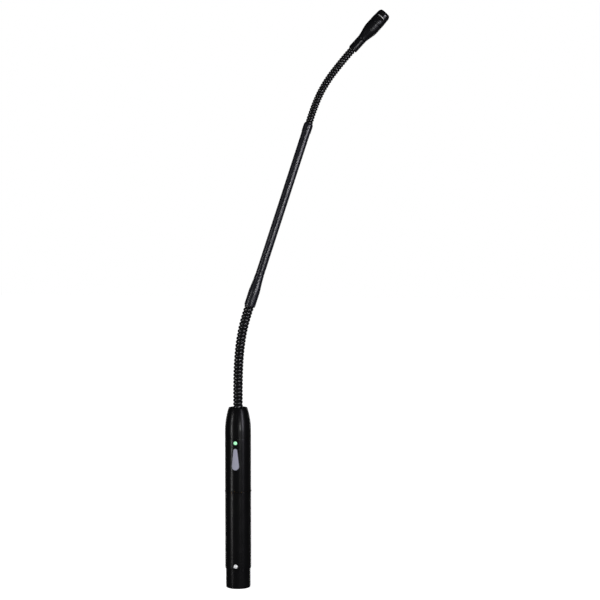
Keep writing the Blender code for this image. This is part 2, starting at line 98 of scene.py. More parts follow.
class MicSizes(bpy.types.PropertyGroup):
    """Sizes of the visible detail."""

    turn_steps: IntProperty(
        name="Turning steps", description="Faces around a turned body piece",
        default=96, min=24, max=192)
    neck_steps: IntProperty(
        name="Hose steps", description="Faces around the wound hose", default=32, min=12, max=64)
    lower_pitch: FloatProperty(
        name="Lower pitch", description="Distance between the ridges of the lower hose",
        default=2.68 * MM, unit='LENGTH')
    upper_pitch: FloatProperty(
        name="Upper pitch", description="Distance between the ridges of the upper hose",
        default=2.09 * MM, unit='LENGTH')
    lower_ridge: FloatProperty(
        name="Lower ridge", description="Outer radius of the lower hose",
        default=3.62 * MM, unit='LENGTH')
    upper_ridge: FloatProperty(
        name="Upper ridge", description="Outer radius of the upper hose",
        default=2.80 * MM, unit='LENGTH')
    lower_groove: FloatProperty(
        name="Lower groove", description="Radius of the lower hose between two turns of its wire",
        default=2.95 * MM, unit='LENGTH')
    upper_groove: FloatProperty(
        name="Upper groove", description="Radius of the upper hose between two turns of its wire",
        default=2.28 * MM, unit='LENGTH')
    ridge_share: FloatProperty(
        name="Ridge share", description="Share of the pitch that the round wire takes",
        default=0.84, subtype='FACTOR', min=0.3, max=0.9)
    seam: FloatProperty(
        name="Seam", description="Width of the dark line between two body pieces",
        default=0.14 * MM, unit='LENGTH')
    mesh_pitch: FloatProperty(
        name="Screen pitch", description="Distance between the wires of the front screen",
        default=0.46 * MM, unit='LENGTH')
    wire: FloatProperty(
        name="Screen wire", description="Thickness of the screen's wires",
        default=0.16 * MM, unit='LENGTH')


class MicColours(bpy.types.PropertyGroup):
    """Colours of the visible finishes."""

    coat: FloatVectorProperty(
        name="Body coat", description="Satin black of the body", subtype='COLOR',
        default=linear("#0B0B0C"))
    hose: FloatVectorProperty(
        name="Hose", description="Lacquered black of the wound hose", subtype='COLOR',
        default=linear("#0B0B0C"))
    stem: FloatVectorProperty(
        name="Stem", description="Black nickel of the stem", subtype='COLOR', default=linear("#111117"))
    button: FloatVectorProperty(
        name="Button", description="Pale grey of the mute button", subtype='COLOR',
        default=linear("#9595A4"))
    light: FloatVectorProperty(
        name="Light", description="Pale green of the status light", subtype='COLOR',
        default=linear("#9CE8B4"))


# ---------------------------------------------------------------- node and mesh helpers


def add_node(tree, kind, settings=None, links=None):
    """Add a shader node, set its sockets or attributes, and link its inputs to other nodes' outputs."""
    node = tree.nodes.new(kind)
    for key, value in (settings or {}).items():
        if isinstance(key, str) and hasattr(node, key):
            setattr(node, key, value)
        else:
            node.inputs[key].default_value = value
    for key, output in (links or {}).items():
        tree.links.new(output, node.inputs[key])
    return node


def coloured(value):
    """A colour, or an sRGB hex colour, with its alpha as sockets take it."""
    return (*(linear(value) if isinstance(value, str) else value)[:3], 1.0)


def mottled_surface(name, dark, light, rough, grain, relief, patch, stretch=(1, 1, 1), **shader):
    """A finish whose colour and gloss drift in patches, with a fine grain standing out of it.

    grain and patch are the sizes of the grain and of the patches in metres, relief is the grain's
    height, rough is the lowest and highest roughness, and stretch draws the grain out along an axis.
    """
    material = bpy.data.materials.get(name)
    if material:
        return material
    material = bpy.data.materials.new(name)
    material.use_nodes = True
    tree = material.node_tree
    tree.nodes.clear()
    place = add_node(tree, 'ShaderNodeTexCoord').outputs["Object"]
    drawn = add_node(tree, 'ShaderNodeMapping', {"Scale": stretch}, {"Vector": place}).outputs["Vector"]
    fine = add_node(tree, 'ShaderNodeTexNoise', {"Scale": 1 / grain, "Detail": 3.0, "Roughness": 0.6},
                    {"Vector": drawn})
    broad = add_node(tree, 'ShaderNodeTexNoise', {"Scale": 1 / patch, "Detail": 4.0, "Roughness": 0.55},
                     {"Vector": place})
    colour = add_node(tree, 'ShaderNodeMix',
                      {"data_type": 'RGBA', 6: coloured(dark), 7: coloured(light)},
                      {0: broad.outputs["Fac"]})
    gloss = add_node(tree, 'ShaderNodeMapRange',
                     {"From Min": 0.3, "From Max": 0.7, "To Min": rough[0], "To Max": rough[1]},
                     {"Value": broad.outputs["Fac"]})
    bump = add_node(tree, 'ShaderNodeBump', {"Strength": 1.0, "Distance": relief},
                    {"Height": fine.outputs["Fac"]})
    body = add_node(tree, 'ShaderNodeBsdfPrincipled', shader,
                    {"Base Color": colour.outputs[2], "Roughness": gloss.outputs["Result"],
                     "Normal": bump.outputs["Normal"]})
    add_node(tree, 'ShaderNodeOutputMaterial', links={"Surface": body.outputs["BSDF"]})
    return material


def new_piece(name, mesh, material):
    """Link a mesh as a piece of the microphone."""
    piece = bpy.data.objects.new(name, mesh)
    bpy.context.scene.collection.objects.link(piece)
    mesh.materials.clear()
    mesh.materials.append(material)
    return piece


def from_cage(name, cage, material):
    """Link a cage's mesh as a piece, and free the cage."""
    mesh = bpy.data.meshes.new(name)
    cage.to_mesh(mesh)
    cage.free()
    return new_piece(name, mesh, material)


def circle(cage, radius, height, steps, start=0.0):
    """Add a circle of vertices about Z."""
    angles = [2 * math.pi * side / steps + start for side in range(steps)]
    return [cage.verts.new((radius * math.cos(angle), radius * math.sin(angle), height))
            for angle in angles]


def join_rings(cage, rings, is_open=None):
    """Add the faces from each ring of vertices to the next, but for those that is_open names."""
    for level, (before, after) in enumerate(zip(rings, rings[1:])):
        for side in range(len(before)):
            other = (side + 1) % len(before)
            if not (is_open and is_open(level, side)):
                cage.faces.new((before[side], before[other], after[other], after[side]))


def add_stack(piece, *stack):
    """Add modifiers to a piece, each given as (kind, settings)."""
    for kind, settings in stack:
        modifier = piece.modifiers.new(kind.title(), kind)
        for key, value in settings.items():
            setattr(modifier, key, value)
    return piece


def settle(piece):
    """Apply a piece's stack."""
    mesh = bpy.data.meshes.new_from_object(piece.evaluated_get(bpy.context.evaluated_depsgraph_get()))
    old = piece.data
    piece.modifiers.clear()
    piece.data = mesh
    bpy.data.meshes.remove(old)
    mesh.name = piece.name
    return piece


def face_outwards(piece):
    """Merge what a stack left double on a closed piece, and turn every face outwards."""
    cage = bmesh.new()
    cage.from_mesh(piece.data)
    bmesh.ops.remove_doubles(cage, verts=cage.verts, dist=0.0000005)
    bmesh.ops.recalc_face_normals(cage, faces=cage.faces)
    cage.to_mesh(piece.data)
    cage.free()
    return piece


def turn(name, outline, material, closed=True, steps=96, place=None, crisp=True):
    """Turn an outline of (radius, height, edge rounding) about Z.

    The outline runs down the outer side. Each corner is rounded by its own amount. A closed outline
    is a ring. With a place, the stack is applied and the mesh moved there. A crisp piece keeps its
    flat faces flat beside its rounded edges.
    """
    mesh = bpy.data.meshes.new(name)
    count = len(outline)
    edges = [(index, index + 1) for index in range(count - 1)]
    if closed:
        edges.append((count - 1, 0))
    mesh.from_pydata([(point[0], 0.0, point[1]) for point in outline], edges, [])
    largest = max(point[2] for point in outline)
    piece = new_piece(name, mesh, material)
    if largest > 0:
        weights = mesh.attributes.new("bevel_weight_vert", 'FLOAT', 'POINT')
        weights.data.foreach_set("value", [point[2] / largest for point in outline])
        add_stack(piece, ('BEVEL', {"affect": 'VERTICES', "width": largest, "segments": 3,
                                    "limit_method": 'WEIGHT'}))
    add_stack(piece, ('SCREW', {"axis": 'Z', "steps": steps, "render_steps": steps,
                                "use_merge_vertices": True, "merge_threshold": 0.000001,
                                "use_normal_calculate": True, "use_smooth_shade": True}))
    if place:
        face_outwards(settle(piece))
        piece.data.transform(place)
    if crisp:
        add_stack(piece, ('WEIGHTED_NORMAL', {"weight": 60}))
    return piece


def rounded_box(name, size, centre, rounding, material):
    """A box with rounded edges."""
    cage = bmesh.new()
    bmesh.ops.create_cube(cage, size=1.0)
    bmesh.ops.scale(cage, vec=size, verts=cage.verts)
    bmesh.ops.translate(cage, vec=centre, verts=cage.verts)
    return add_stack(from_cage(name, cage, material), ('BEVEL', {"width": rounding, "segments": 3}))


def discard(helper):
    """Remove a helper and its mesh."""
    mesh = helper.data
    bpy.data.objects.remove(helper)
    bpy.data.meshes.remove(mesh)


def cut_away(piece, cutter):
    """Cut a helper's shape from a piece, and remove the helper."""
    settle(cutter)
    add_stack(piece, ('BOOLEAN', {"operation": 'DIFFERENCE', "solver": 'EXACT', "object": cutter}))
    face_outwards(settle(piece))
    discard(cutter)
    return piece


def soften(piece, width, angle=35.0):
    """Round the sharp edges that a cut leaves, and shade the rest smooth."""
    piece.data.shade_smooth()
    add_stack(piece, ('BEVEL', {"width": width, "segments": 2, "limit_method": 'ANGLE',
                                "angle_limit": math.radians(angle)}),
              ('WEIGHTED_NORMAL', {"weight": 60}))
    return piece


def finish_piece(piece, body, slot, *nodes):
    """Let a piece ride on its body, and hide the CAD nodes that it stands for. The slot is not used."""
    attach(piece, body)
    if nodes:
        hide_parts(*nodes)
    return piece


def rows(radius, top, bottom, pitch):
    """Rows of faces down a plain wall, so that a cut through it leaves the rest smooth."""
    count = max(1, round((top - bottom) / pitch))
    return [(radius, top + (bottom - top) * row / count, 0) for row in range(1, count)]


def upright(node):
    """Bottom, top and outer radius of a CAD node that stands on the body's axis."""
    low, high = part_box(node)
    return low.z, high.z, 0.5 * (high.x - low.x)


def on_front(node):
    """The place that turns a piece made along Z to the front, at a CAD node's height."""
    low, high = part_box(node)
    return Matrix.Translation((0, 0, 0.5 * (low.z + high.z))) @ TURN_FRONT


def drill(piece, node, clearance, material):
    """Cut a round hole through a sleeve's front wall for a CAD node."""
    radius = upright(node)[2] + clearance
    outline = [(0, CUT_OUTSIDE, 0), (radius, CUT_OUTSIDE, 0), (radius, CUT_INSIDE, 0),
               (0, CUT_INSIDE, 0)]
    cut_away(piece, turn("drill", outline, material, closed=False, steps=40, place=on_front(node)))


# ---------------------------------------------------------------- finishes


def shades(finish, darkest, lightest):
    """The darkest and the lightest shade of one of the panel's colours."""
    colour = getattr(bpy.context.scene.mic_colours, finish)
    return [darkest * c for c in colour], [lightest * c for c in colour]


def body_coat():
    """Powder coat on turned steel: satin, with the faint orange peel of the cured powder.

    Its low IOR keeps its streaks of light dim.
    """
    return mottled_surface("satin_powder_coat", *shades("coat", 0.8, 1.3), (0.22, 0.27), 0.35 * MM,
                           0.0015 * MM, 9 * MM, IOR=1.38)


def hose_lacquer():
    """Black lacquer over wound spring steel: its high IOR makes the ridges glint."""
    return mottled_surface("lacquered_spring_steel", *shades("hose", 0.8, 1.4), (0.27, 0.34), 0.2 * MM,
                           0.0008 * MM, 5 * MM, IOR=2.0)


def black_nickel():
    """Black nickel on drawn tube: a smoky metal that goes slightly violet in the light."""
    return mottled_surface("black_nickel_tube", *shades("stem", 0.9, 1.5), (0.26, 0.32), 0.25 * MM,
                           0.0008 * MM, 12 * MM, stretch=(1, 1, 0.15), IOR=1.9)


def anodised_black():
    """Black anodised aluminium: fine matt grain from the blast before the dye."""
    return mottled_surface("blasted_black_anodising", "#09090B", "#0F0F12", (0.29, 0.34),
                           0.12 * MM, 0.0006 * MM, 6 * MM, IOR=1.6)


def polished_black():
    """Black anodising over polished aluminium: the front cap mirrors the lights almost whole."""
    return mottled_surface("polished_black_anodising", "#0A0A0B", "#111113", (0.12, 0.18),
                           0.12 * MM, 0.0005 * MM, 4 * MM, IOR=2.1)


def bright_nickel(name="bright_nickel"):
    """Nickel plating on brass: bright, with hairlines from handling."""
    return mottled_surface(name, "#B9B7B0", "#D9D8D4", (0.14, 0.24), 0.08 * MM,
                           0.0008 * MM, 2 * MM, stretch=(1, 1, 0.2), Metallic=1.0)


def passivated_zinc():
    """Zinc plating with a milky passivation: a pale silver that scatters more than it mirrors."""
    return mottled_surface("passivated_zinc", "#E6E8EA", "#F8F9FA", (0.30, 0.42), 0.1 * MM,
                           0.001 * MM, 1 * MM, Metallic=0.25)


def satin_nickel():
    """Barrel-plated nickel: a soft grey that shows evenly where bright nickel would flash."""
    return mottled_surface("satin_nickel", "#A2A2A0", "#BDBDBB", (0.28, 0.40), 0.1 * MM,
                           0.001 * MM, 2 * MM, Metallic=0.35)


def moulded_nylon():
    """Glass-filled nylon of the plug's insert: matt and slightly grainy."""
    return mottled_surface("moulded_black_nylon", "#141414", "#1D1D1E", (0.5, 0.62),
                           0.15 * MM, 0.004 * MM, 3 * MM, IOR=1.53)


def button_plastic():
    """Moulded ABS of the button: pale, softly matt, with a fine spark-eroded texture."""
    return mottled_surface("moulded_grey_abs", *shades("button", 0.93, 1.04), (0.42, 0.5), 0.12 * MM,
                           0.002 * MM, 3 * MM, IOR=1.54)


def light_lens():
    """Tinted acrylic lens of the light: green, clear enough to glow from inside."""
    glow = {"Emission Color": coloured(bpy.context.scene.mic_colours.light), "Emission Strength": 0.55}
    return mottled_surface("green_acrylic_lens", *shades("light", 0.85, 1.0), (0.1, 0.16), 0.3 * MM,
                           0.0005 * MM, 1 * MM, IOR=1.49, **glow)


def solder_mask():
    """Epoxy solder mask on the boards: glossy green with copper showing faintly through."""
    return mottled_surface("green_solder_mask", "#0F4A22", "#1B6A33", (0.22, 0.34),
                           0.6 * MM, 0.006 * MM, 2.5 * MM, IOR=1.5)


def component_black():
    """Moulded epoxy of the chip and the switch: dead matt black."""
    return mottled_surface("moulded_epoxy_black", "#171717", "#232323", (0.6, 0.75),
                           0.1 * MM, 0.003 * MM, 2 * MM, IOR=1.5)


def component_white():
    """Natural nylon of the plunger and the light's holder: warm white, waxy."""
    return mottled_surface("natural_white_nylon", "#CFCBBF", "#E2DED2", (0.4, 0.5),
                           0.2 * MM, 0.003 * MM, 3 * MM, IOR=1.53)


def capacitor_sleeve():
    """Shrink sleeve of the capacitors: dark blue vinyl, drawn tight and glossy."""
    return mottled_surface("blue_shrink_sleeve", "#141C3C", "#1F2A55", (0.24, 0.34),
                           0.4 * MM, 0.003 * MM, 3 * MM, IOR=1.52)


def lead_insulation(name, dark, light):
    """Extruded PVC on a lead: soft, slightly waxy."""
    return mottled_surface(name, dark, light, (0.42, 0.55), 0.2 * MM, 0.003 * MM, 4 * MM,
                           IOR=1.53)


def turned_brass():
    """Bare turned brass of the coupling ring: warm, with fine tool rings."""
    return mottled_surface("turned_brass", "#8C6A30", "#B08B46", (0.25, 0.38), 0.15 * MM,
                           0.002 * MM, 3 * MM, stretch=(0.1, 0.1, 1), Metallic=1.0)


def capsule_can():
    """Drawn aluminium can of the capsule: pale and satin."""
    return mottled_surface("drawn_aluminium", "#A9AAAC", "#C4C5C8", (0.26, 0.36), 0.1 * MM,
                           0.001 * MM, 2 * MM, Metallic=1.0)


def moulded_rubber():
    """Moulded rubber of the capsule's mount: dull black."""
    return mottled_surface("moulded_black_rubber", "#121212", "#1C1C1C", (0.7, 0.85),
                           0.15 * MM, 0.005 * MM, 2 * MM, IOR=1.52)


def screen_wire():
    """Stainless wire of the front screen, slightly dulled by its weaving."""
    return mottled_surface("woven_stainless_wire", "#8E8F92", "#B8B9BC", (0.24, 0.36),
                           0.06 * MM, 0.0008 * MM, 1 * MM, Metallic=1.0)


def black_screen_wire():
    """Blackened wire cloth behind the side ports."""
    return mottled_surface("blackened_wire_cloth", "#070708", "#0E0E10", (0.6, 0.7),
                           0.06 * MM, 0.001 * MM, 1 * MM, IOR=1.5)


# ---------------------------------------------------------------- body


def build_plug(sizes):
    """XLR barrel with keyway and latch window, insert, three pins and the retaining screw."""
    bottom, top, radius = upright("xlr_shell")
    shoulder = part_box("lower_sleeve")[0].z - sizes.seam
    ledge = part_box("xlr_insulator")[0].z - 0.5 * MM
    spigot = radius - 0.95 * MM
    lip = radius - 0.12 * MM
    bore = radius - 1.0 * MM
    throat = 7.2 * MM
    outline = [(spigot, top, 0.2 * MM), (spigot, shoulder, 0), (radius, shoulder, 0.2 * MM),
               (radius, 1.1 * MM, 0.1 * MM), (lip, 0.9 * MM, 0.05 * MM), (lip, bottom, 0.3 * MM),
               (bore, bottom, 0.3 * MM), (bore, ledge, 0.15 * MM), (throat, ledge, 0.15 * MM),
               (throat, top, 0.2 * MM)]
    barrel = turn("plug_barrel", outline, body_coat(), steps=sizes.turn_steps)
    latch_window = (mm(4.2, 4.0, 3.4), (0, radius, 6.7 * MM))
    keyway = (mm(2.3, 1.4, 14), (0, radius - 1.1 * MM, 4.0 * MM))
    for size, centre in (latch_window, keyway):
        cut_away(barrel, rounded_box("opening", size, centre, 0.25 * MM, body_coat()))
    soften(barrel, 0.06 * MM)
    finish_piece(barrel, "preamp", "black_body", "xlr_shell")

    low, high, rim = upright("xlr_insulator")
    outline = [(0, high, 0), (rim, high, 0.3 * MM), (rim, low, 0.3 * MM),
               (rim - 0.8 * MM, low, 0.1 * MM), (rim - 0.9 * MM, low + 0.25 * MM, 0.1 * MM),
               (0, low + 0.25 * MM, 0)]
    insert = turn("plug_insert", outline, moulded_nylon(), closed=False, steps=64)
    finish_piece(insert, "preamp", "insulator_black", "xlr_insulator")

    for number in range(1, 4):
        node = f"xlr_pin_{number}"
        low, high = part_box(node)
        centre = 0.5 * (low + high)
        pin = 0.5 * (high.x - low.x)
        outline = [(0, high.z, 0), (pin, high.z, 0.15 * MM), (pin, low.z, 1.0 * MM), (0, low.z, 0)]
        rod = turn(f"plug_pin_{number}", outline, bright_nickel(), closed=False, steps=32,
                   place=Matrix.Translation((centre.x, centre.y, 0)))
        finish_piece(rod, "preamp", "contact_silver", node)

    low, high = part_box("xlr_retaining_screw")
    head = 0.5 * (high.x - low.x)
    face = -low.y
    outline = [(0, face, 0)]
    for step in range(1, 6):
        part = step / 5
        outline.append((head * part, face - 0.5 * MM * part ** 2, 0.12 * MM if step == 5 else 0))
    outline += [(head, face - 1.1 * MM, 0), (0.95 * MM, face - 1.1 * MM, 0), (0.95 * MM, -high.y, 0),
                (0, -high.y, 0)]
    zinc = passivated_zinc()
    screw = turn("plug_screw", outline, zinc, closed=False, steps=40, place=Matrix.Identity(4))
    slot = rounded_box("slot", mm(4, 0.42, 1.0), (0, 0, face), 0.05 * MM, zinc)
    slot.data.transform(Matrix.Rotation(math.radians(35), 4, 'Z'))
    cut_away(screw, slot)
    screw.data.transform(on_front("xlr_retaining_screw"))
    soften(screw, 0.04 * MM)
    finish_piece(screw, "preamp", "screw_steel", "xlr_retaining_screw")


def build_sleeves(sizes):
    """Lower sleeve, seam ring and upper sleeve, with the screw's, button's and light's openings."""
    coat = body_coat()
    seam_low, seam_high, ring = upright("seam_ring")
    bottom, _, radius = upright("lower_sleeve")
    bore = radius - SLEEVE_WALL
    outline = [(radius, seam_low - sizes.seam, 0.18 * MM)]
    outline += [(radius, 20 * MM, 0)] + rows(radius, 20 * MM, bottom, 0.8 * MM)
    outline += [(radius, bottom, 0.18 * MM), (bore, bottom, 0.1 * MM),
                (bore, seam_low - sizes.seam, 0.1 * MM)]
    lower = turn("body_lower_sleeve", outline, coat, steps=sizes.turn_steps)
    drill(lower, "xlr_retaining_screw", 0.12 * MM, coat)
    soften(lower, 0.08 * MM)
    finish_piece(lower, "preamp", "black_body", "lower_sleeve")

    outline = [(ring, seam_high, 0.22 * MM), (ring, seam_low, 0.22 * MM), (bore, seam_low, 0),
               (bore, seam_high, 0)]
    band = turn("body_seam_ring", outline, coat, steps=sizes.turn_steps)
    finish_piece(band, "preamp", "black_body", "seam_ring")

    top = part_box("upper_sleeve")[1].z
    below_button = 87 * MM
    outline = [(radius, top, 0.15 * MM)] + rows(radius, top, below_button, 0.8 * MM)
    outline += [(radius, below_button, 0), (radius, seam_high + sizes.seam, 0.18 * MM),
                (bore, seam_high + sizes.seam, 0.1 * MM), (bore, top, 0.1 * MM)]
    upper = turn("body_upper_sleeve", outline, coat, steps=sizes.turn_steps)
    drill(upper, "status_light", 0.1 * MM, coat)
    cut_away(upper, teardrop("button_slot", [(1.0, CUT_OUTSIDE), (1.0, CUT_INSIDE)], 0.14 * MM, None,
                             coat))
    soften(upper, 0.08 * MM)
    finish_piece(upper, "preamp", "black_body", "upper_sleeve")


def build_nose(sizes):
    """Nose cap: a short cylinder that rolls into a curved taper, with a collar around the neck."""
    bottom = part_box("upper_sleeve")[1].z + sizes.seam
    _, top, radius = upright("nose_cap")
    taper_start = 116.0 * MM
    height = top - taper_start
    drop = 2.75 * MM
    mouth = 3.75 * MM
    outline = [(mouth, top, 0.25 * MM), (radius - drop - 0.05 * MM, top, 0.5 * MM)]
    for step in range(1, 9):
        part = 1.0 - step / 8
        outline.append((radius - drop * part ** 2, taper_start + height * part, 0))
    outline += [(radius, bottom, 0.15 * MM), (radius - SLEEVE_WALL, bottom, 0),
                (6.6 * MM, top - 5 * MM, 0), (mouth, top - 2.5 * MM, 0)]
    nose = turn("body_nose_cap", outline, body_coat(), steps=sizes.turn_steps)
    finish_piece(nose, "preamp", "black_body", "nose_cap")


def teardrop(name, levels, margin, crown, material):
    """A teardrop standing out along -Y, lofted through levels of (share of the outline, depth).

    A share of 1 is the full outline and 0 is the line between its two centres. With a crown, depths
    are measured inwards from a cylinder of that radius around the body, else from the axis.
    """
    low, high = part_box("mute_button")
    wide = 0.5 * (high.x - low.x)
    narrow = 1.45 * MM
    bottom, top = low.z + wide, high.z - narrow
    lean = math.asin((wide - narrow) / (top - bottom))
    outline = []
    for radius, centre, start, end in ((narrow, top, lean, math.pi - lean),
                                       (wide, bottom, math.pi - lean, 2 * math.pi + lean)):
        for step in range(13):
            angle = start + (end - start) * step / 12
            outline.append((math.cos(angle) * (radius + margin),
                            math.sin(angle) * (radius + margin), centre))
        other = bottom if centre == top else top
        last = outline[-1]
        for step in range(1, 6):
            share = step / 6
            size = (radius + (wide + narrow - 2 * radius) * share + margin) / (radius + margin)
            outline.append((last[0] * size, last[1] * size, centre + (other - centre) * share))
    cage = bmesh.new()
    rings = []
    for share, depth in levels:
        ring = []
        for x, z, spine in outline:
            across = x * share
            out = depth if crown is None else math.sqrt(crown ** 2 - across ** 2) - depth
            ring.append(cage.verts.new((across, -out, spine + z * share)))
        rings.append(ring)
    join_rings(cage, rings)
    cage.faces.new(rings[0])
    if levels[-1][0] > 0:
        cage.faces.new(rings[-1])
    bmesh.ops.remove_doubles(cage, verts=cage.verts, dist=0.000001)
    bmesh.ops.recalc_face_normals(cage, faces=cage.faces)
    return from_cage(name, cage, material)


def build_button():
    """Mute button: a softly crowned teardrop that follows the body's curve."""
    low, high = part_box("mute_button")
    crown = -low.y
    levels = [(0.96, crown + high.y), (1.0, crown + high.y - 0.2 * MM), (1.0, 0.62 * MM),
              (0.985, 0.3 * MM), (0.93, 0.12 * MM), (0.8, 0.03 * MM), (0.45, 0.0), (0.0, 0.0)]
    button = teardrop("mute_button_cap", levels, 0.0, crown, button_plastic())
    button.data.shade_smooth()
    add_stack(button, ('SUBSURF', {"levels": 1, "render_levels": 1}))
    finish_piece(button, "mute_button", "button_grey", "mute_button")


def build_light():
    """Status light: a domed lens in a thin black bezel."""
    low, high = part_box("status_light")
    radius = 0.5 * (high.x - low.x)
    face = -low.y
    place = on_front("status_light")
    lens = radius - 0.22 * MM
    outline = [(0, face, 0)]
    for step in range(1, 6):
        angle = math.radians(15 * step)
        outline.append((lens * math.sin(angle), face - 0.55 * MM * (1 - math.cos(angle)), 0))
    outline += [(lens, face - 0.6 * MM, 0), (lens, -high.y, 0), (0, -high.y, 0)]
    dome = turn("status_light_lens", outline, light_lens(), closed=False, steps=32, place=place)
    finish_piece(dome, "preamp", "light_green", "status_light")
    outline = [(radius + 0.02 * MM, face - 0.22 * MM, 0.08 * MM), (radius + 0.02 * MM, -high.y, 0),
               (lens + 0.02 * MM, -high.y, 0), (lens + 0.02 * MM, face - 0.3 * MM, 0.05 * MM)]
    bezel = turn("status_light_bezel", outline, component_black(), steps=32, place=place)
    finish_piece(bezel, "preamp", "part_black")


def finish_hidden_parts():
    """Give the pieces inside the body and the head their finishes."""
    red = lead_insulation("red_pvc", "#6E1414", "#8E1E1E")
    grey = lead_insulation("grey_pvc", "#2A2A2C", "#3A3A3D")
    finishes = {
        "circuit_board": solder_mask(), "contact_board": solder_mask(),
        "mute_switch": component_black(), "amplifier_chip": component_black(),
        "light_holder": component_white(), "mute_plunger": component_white(),
        "capacitor_1": capacitor_sleeve(), "capacitor_2": capacitor_sleeve(),
        "coupling_ring": turned_brass(), "neck_clamp_nut": bright_nickel(), "stem_lead": grey,
        "pin_lead_1": red, "pin_lead_2": red, "pin_lead_3": red, "capsule": capsule_can(),
        "capsule_ring": moulded_rubber(), "centre_contact": bright_nickel("gold_flash"),
    }
    for node, material in finishes.items():
        mesh = frame["nodes"][node].data
        mesh.materials.clear()
        mesh.materials.append(material)


# ---------------------------------------------------------------- neck


def joint_place(name):
    """Where a joint sits at rest."""
    return Vector(next(joint for joint in frame["joints"] if joint["name"] == name)["pos_m"])


def stem_direction():
    """The stem's axis, from the last pivot of the lower hose to the first of the upper one."""
    return (joint_place("upper_bend_1") - joint_place("lower_bend_9")).normalized()


def across_direction():
    """The normal of the plane that the neck curves in."""
    return Vector(next(joint for joint in frame["joints"] if joint["name"] == "lower_bend_1")["axis"])


def head_direction():
    """The head's axis: square to the last pivot's sway axis and to the curve's normal."""
    sway = Vector(next(joint for joint in frame["joints"] if joint["name"] == "upper_sway_10")["axis"])
    return sway.cross(across_direction()).normalized()


def flexible_stretch(name, start, end):
    """The joints of one flexible stretch, and the points on its line halfway between the pivots."""
    joints = [joint for joint in frame["joints"] if joint["name"].startswith(name)]
    pivots = [Vector(joint["pos_m"]) for joint in joints]
    half = 0.5 * (pivots[1] - pivots[0]).length
    halves = [pivots[0] - start * half]
    halves += [0.5 * (before + after) for before, after in zip(pivots, pivots[1:])]
    halves.append(pivots[-1] + end * half)
    return joints, pivots, halves, 2 * half


def along_arc(first, pivot, last, share):
    """Point and direction on the arc that leaves first and reaches last, tangent to both links."""
    if share < 0:
        direction = (pivot - first).normalized()
        return first + direction * (2 * share * (pivot - first).length), direction
    if share > 1:
        direction = (last - pivot).normalized()
        return last + direction * (2 * (share - 1) * (last - pivot).length), direction
    point = first * (1 - share) ** 2 + pivot * (2 * share * (1 - share)) + last * share ** 2
    return point, ((pivot - first) * (1 - share) + (last - pivot) * share).normalized()


def straight_hose(name, length, pitch, ridge, groove, sizes):
    """The hose's outer skin, wound straight along Z from under 0 to past its length.

    The round wire stands out as a ridge, with a narrow valley between two turns.
    """
    wire = pitch * sizes.ridge_share
    outline = []
    for step in range(9):
        angle = math.pi * step / 8
        outline.append((groove + (ridge - groove) * math.sin(angle),
                        0.5 * wire * (1 - math.cos(angle))))
    outline.append((groove - VALLEY_DEPTH, 0.5 * (wire + pitch)))
    outline.append((groove, pitch))
    outline.reverse()
    mesh = bpy.data.meshes.new(name)
    mesh.from_pydata([(radius, 0, height) for radius, height in outline],
                     [(index, index + 1) for index in range(len(outline) - 1)], [])
    skin = new_piece(name, mesh, hose_lacquer())
    turns = math.ceil(length / pitch) + 6
    add_stack(skin, ('SCREW', {"axis": 'Z', "screw_offset": pitch, "iterations": turns,
                               "steps": sizes.neck_steps, "render_steps": sizes.neck_steps,
                               "use_merge_vertices": True, "merge_threshold": 0.00001,
                               "use_smooth_shade": True}))
    face_outwards(settle(skin))
    skin.data.transform(Matrix.Translation((0, 0, -4 * pitch)))
    return skin


def cut_length(skin, low, high, bore, name, material):
    """A length of hose between two heights, closed with a bore and flat ends."""
    cage = bmesh.new()
    cage.from_mesh(skin.data)
    for height, direction in ((low, -1), (high, 1)):
        everything = cage.verts[:] + cage.edges[:] + cage.faces[:]
        bmesh.ops.bisect_plane(cage, geom=everything, dist=0.0000001, plane_co=(0, 0, height),
                               plane_no=(0, 0, direction), clear_outer=True)
    join_rings(cage, [circle(cage, bore, low + (high - low) * step / 4, 16) for step in range(5)])
    for height in (low, high):
        ends = [edge for edge in cage.edges if edge.is_boundary
                and all(abs(vert.co.z - height) < 0.00001 for vert in edge.verts)]
        bmesh.ops.bridge_loops(cage, edges=ends)
    bmesh.ops.recalc_face_normals(cage, faces=cage.faces)
    hose = from_cage(name, cage, material)
    hose.data.shade_smooth()
    hose.data.set_sharp_from_angle(angle=math.radians(60))
    return hose


def bend_to_arc(piece, offset, step, first, pivot, last):
    """Carry a straight length onto its arc. offset is the height at which the arc starts."""
    across = across_direction()
    for vert in piece.data.vertices:
        point, direction = along_arc(first, pivot, last, (vert.co.z - offset) / step)
        outward = across.cross(direction)
        vert.co = point + outward * vert.co.x + across * vert.co.y


